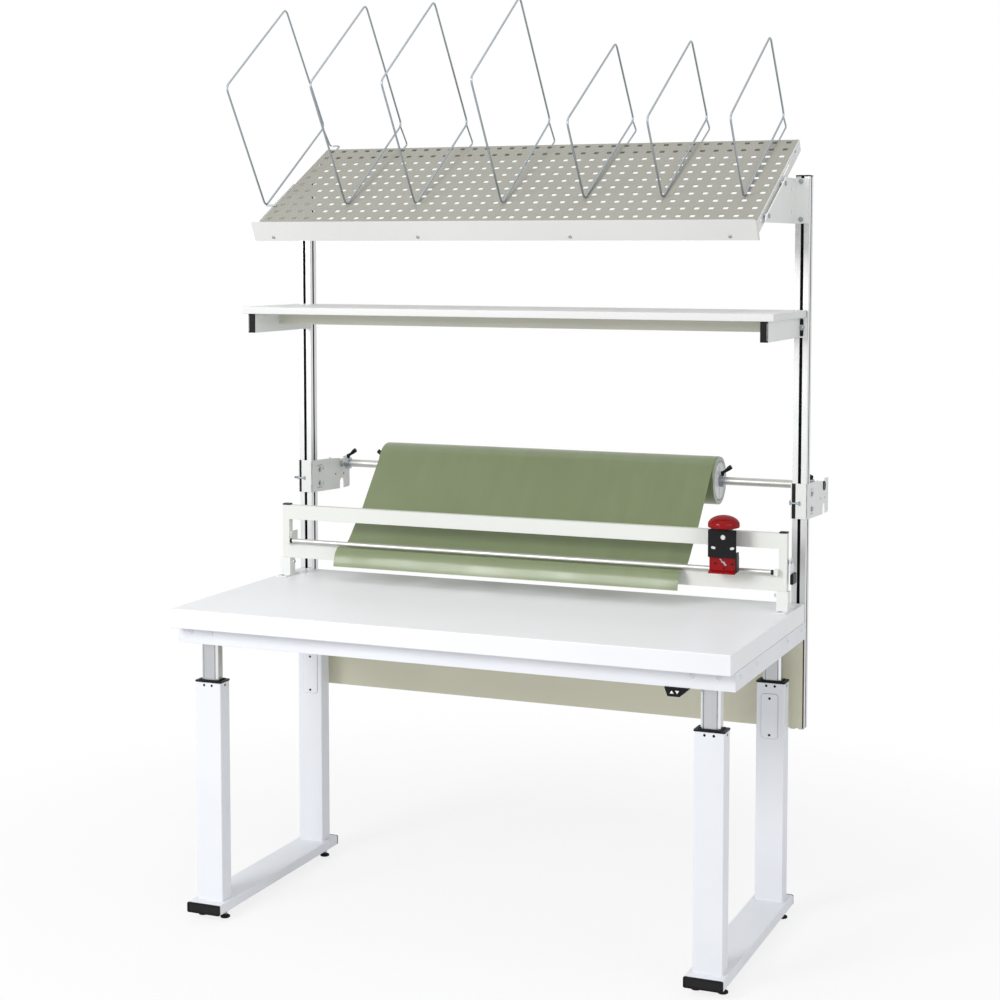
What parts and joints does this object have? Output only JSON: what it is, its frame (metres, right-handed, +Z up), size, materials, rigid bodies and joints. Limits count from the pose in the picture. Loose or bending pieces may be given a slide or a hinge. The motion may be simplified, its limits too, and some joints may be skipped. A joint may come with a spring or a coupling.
{
  "type": "packing table",
  "caption": "Height-adjustable packing table with slotted uprights, a shelf, a tilted perforated tray with wire dividers, and a film roll with a sliding cutter.",
  "frame": {"origin": "on the floor, under the middle of the whole table's outer size", "axes": "+X to the user's right along the worktop, +Y away from the user, +Z up"},
  "size_m": [1.5276, 0.956, 2.4277],
  "materials": {
    "white_paint": "satin powder coat",
    "grey_paint": "satin powder coat",
    "beige_panel": "painted board",
    "black_plastic": "moulded",
    "red_plastic": "moulded",
    "aluminium": "anodised",
    "zinc": "zinc plated",
    "green_film": "wound film",
    "laminate": "laminated board",
    "white_plastic": "moulded"
  },
  "bodies": {
    "floor_base": {"runner_left": "white_paint", "runner_cap_left_front": "black_plastic", "feet_left_front": "black_plastic", "outer_column_left_front": "white_paint", "guide_collar_left_front": "black_plastic", "runner_cap_left_rear": "black_plastic", "feet_left_rear": "black_plastic", "outer_column_left_rear": "white_paint", "guide_collar_left_rear": "black_plastic", "runner_right": "white_paint", "runner_cap_right_front": "black_plastic", "feet_right_front": "black_plastic", "outer_column_right_front": "white_paint", "guide_collar_right_front": "black_plastic", "runner_cap_right_rear": "black_plastic", "feet_right_rear": "black_plastic", "outer_column_right_rear": "white_paint", "guide_collar_right_rear": "black_plastic"},
    "table": {"table_frame": "white_paint", "worktop": "laminate", "handset": "black_plastic", "rear_panel": "beige_panel", "shelf_board": "grey_paint", "shelf_frame": "grey_paint", "tray": "grey_paint", "tray_lip": "grey_paint", "cutter_frame": "white_paint", "cutter_rod": "zinc", "film_web": "green_film", "inner_column_left_front": "aluminium", "inner_column_left_rear": "aluminium", "upright_left": "aluminium", "tray_bracket_left": "grey_paint", "roll_bracket_left": "grey_paint", "cutter_socket_left": "grey_paint", "inner_column_right_front": "aluminium", "inner_column_right_rear": "aluminium", "upright_right": "aluminium", "tray_bracket_right": "grey_paint", "roll_bracket_right": "grey_paint", "cutter_socket_right": "grey_paint", "divider_1": "zinc", "divider_2": "zinc", "divider_3": "zinc", "divider_4": "zinc", "divider_5": "zinc", "divider_6": "zinc", "divider_7": "zinc"},
    "roll": {"roll_shaft": "zinc", "film_spool": "white_plastic", "film_roll": "green_film"},
    "carriage": {"carriage_body": "black_plastic", "carriage_shoe": "red_plastic", "carriage_knob": "red_plastic"},
    "clamp_lever_body": {"clamp_lever": "black_plastic"},
    "rocker": {"handset_rocker": "black_plastic"},
    "lever_left_bracket": {"wing_lever_left_bracket": "black_plastic"},
    "lever_left_hub": {"wing_lever_left_hub": "black_plastic"},
    "lever_right_hub": {"wing_lever_right_hub": "black_plastic"},
    "lever_right_bracket": {"wing_lever_right_bracket": "black_plastic"}
  },
  "joints": [
    {"name": "table_lift", "type": "slide", "parent": "floor_base", "child": "table", "axis": [0, 0, 1], "range_m": [-0.095, 0.3]},
    {"name": "roll_spin", "type": "hinge", "parent": "table", "child": "roll", "pos_m": [0.0065, 0.412, 1.122], "axis": [1, 0, 0], "continuous": true},
    {"name": "carriage_slide", "type": "slide", "parent": "table", "child": "carriage", "axis": [1, 0, 0], "range_m": [-1.25, 0.09]},
    {"name": "clamp_lever_turn", "type": "hinge", "parent": "table", "child": "clamp_lever_body", "pos_m": [0.7408, 0.107, 0.958], "axis": [1, 0, 0], "range_deg": [0, 60]},
    {"name": "rocker_tilt", "type": "hinge", "parent": "table", "child": "rocker", "pos_m": [0.6095, -0.4385, 0.7242], "axis": [1, 0, 0], "range_deg": [-4, 4], "stiffness_Nm_per_rad": 0.1},
    {"name": "wing_lever_left_bracket_turn", "type": "hinge", "parent": "roll", "child": "lever_left_bracket", "pos_m": [-0.6805, 0.412, 1.139], "axis": [0, 0, 1], "range_deg": [0, 125]},
    {"name": "wing_lever_left_hub_turn", "type": "hinge", "parent": "roll", "child": "lever_left_hub", "pos_m": [-0.5571, 0.412, 1.139], "axis": [0, 0, 1], "range_deg": [0, 95]},
    {"name": "wing_lever_right_hub_turn", "type": "hinge", "parent": "roll", "child": "lever_right_hub", "pos_m": [0.4761, 0.412, 1.139], "axis": [0, 0, 1], "range_deg": [0, 95]},
    {"name": "wing_lever_right_bracket_turn", "type": "hinge", "parent": "roll", "child": "lever_right_bracket", "pos_m": [0.7245, 0.412, 1.139], "axis": [0, 0, 1], "range_deg": [0, 170]}
  ]
}
